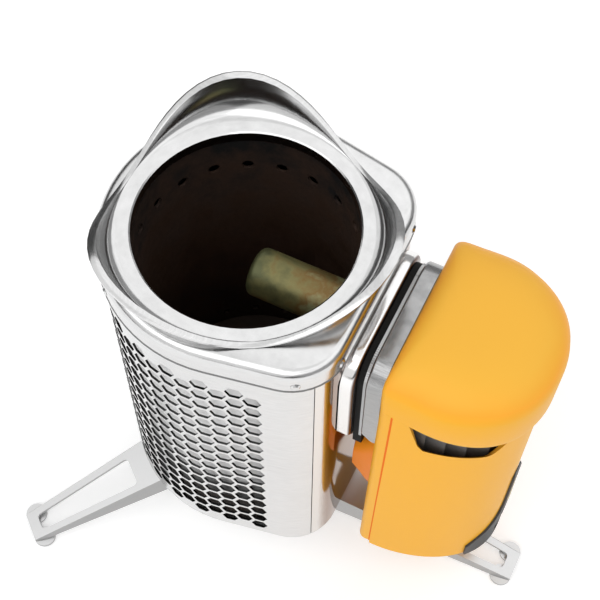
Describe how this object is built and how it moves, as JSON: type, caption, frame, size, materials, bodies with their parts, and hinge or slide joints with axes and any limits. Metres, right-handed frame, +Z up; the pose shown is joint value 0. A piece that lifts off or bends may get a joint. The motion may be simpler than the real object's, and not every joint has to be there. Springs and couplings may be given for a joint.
{
  "type": "twig_stove",
  "caption": "Portable twig-burning camp stove: hex-mesh steel body, three-lobed pot ring, fold-out legs and a detachable orange power module with a fan and heat probe.",
  "frame": {"origin": "middle of the bounding box at ground level, between the ends of the three opened legs", "axes": "+Z up out of the mouth, +X from the stove body towards the power module, +Y to the right of the module seen from its nose"},
  "size_m": [0.2326, 0.2008, 0.2194],
  "materials": {
    "satin_steel": "satin",
    "bright_steel": "polished",
    "sooted_steel": "sooted satin",
    "leg_alloy": "satin",
    "pin_steel": "satin",
    "seal_rubber": "matte",
    "frame_alloy": "satin",
    "probe_copper": "heat tinted",
    "ceramic": "matte ceramic",
    "orange_plastic": "satin matte",
    "dark_plastic": "matte",
    "lens": "clear gloss",
    "socket_steel": "satin",
    "cell_wrap": "gloss",
    "board": "matte"
  },
  "bodies": {
    "stove": {"burn_chamber": "sooted_steel", "chamber_floor": "sooted_steel", "air_jacket": "satin_steel", "heat_mesh": "satin_steel", "back_panel": "bright_steel", "base_pan": "satin_steel", "top_cap": "satin_steel", "pot_ring": "bright_steel", "cap_rivets": "bright_steel", "dock_frame": "bright_steel", "leg_brackets": "leg_alloy", "hinge_pins": "pin_steel"},
    "leg_front": {"leg_front": "leg_alloy"},
    "leg_left": {"leg_left": "leg_alloy"},
    "leg_right": {"leg_right": "leg_alloy"},
    "module": {"dock_seal": "seal_rubber", "metal_frame": "frame_alloy", "heat_probe": "probe_copper", "thermo_plate": "ceramic", "heat_sink": "frame_alloy", "back_cover": "orange_plastic", "front_shell": "orange_plastic", "hood": "orange_plastic", "vent_grille": "dark_plastic", "dashboard": "dark_plastic", "switch_block": "dark_plastic", "indicator_lights": "lens", "usb_socket": "socket_steel", "air_duct": "orange_plastic", "fan_ring": "dark_plastic", "fan_screws": "pin_steel", "battery_cell": "cell_wrap", "battery_cradle": "dark_plastic", "circuit_board": "board"},
    "fan": {"fan_rotor": "dark_plastic"},
    "button": {"power_button": "dark_plastic"}
  },
  "joints": [
    {"name": "fold_left", "type": "hinge", "parent": "stove", "child": "leg_left", "pos_m": [-0.06187, -0.0383, 0.022], "axis": [0.766, -0.6428, 0], "range_deg": [0, 166]},
    {"name": "fold_right", "type": "hinge", "parent": "stove", "child": "leg_right", "pos_m": [-0.06187, 0.0383, 0.022], "axis": [-0.766, -0.6428, 0], "range_deg": [0, 158]},
    {"name": "fold_front", "type": "hinge", "parent": "stove", "child": "leg_front", "pos_m": [0.02027, -0.007, 0.014], "axis": [0, 1, 0], "range_deg": [0, 165]},
    {"name": "module_pull", "type": "slide", "parent": "stove", "child": "module", "axis": [1, 0, 0], "range_m": [0, 0.075]},
    {"name": "fan_spin", "type": "hinge", "parent": "module", "child": "fan", "pos_m": [0.05, 0, 0.099], "axis": [1, 0, 0], "continuous": true},
    {"name": "button_press", "type": "slide", "parent": "module", "child": "button", "axis": [-1, 0, 0], "range_m": [0, 0.0008], "stiffness_N_per_m": 300, "springref_m": -0.0005}
  ]
}
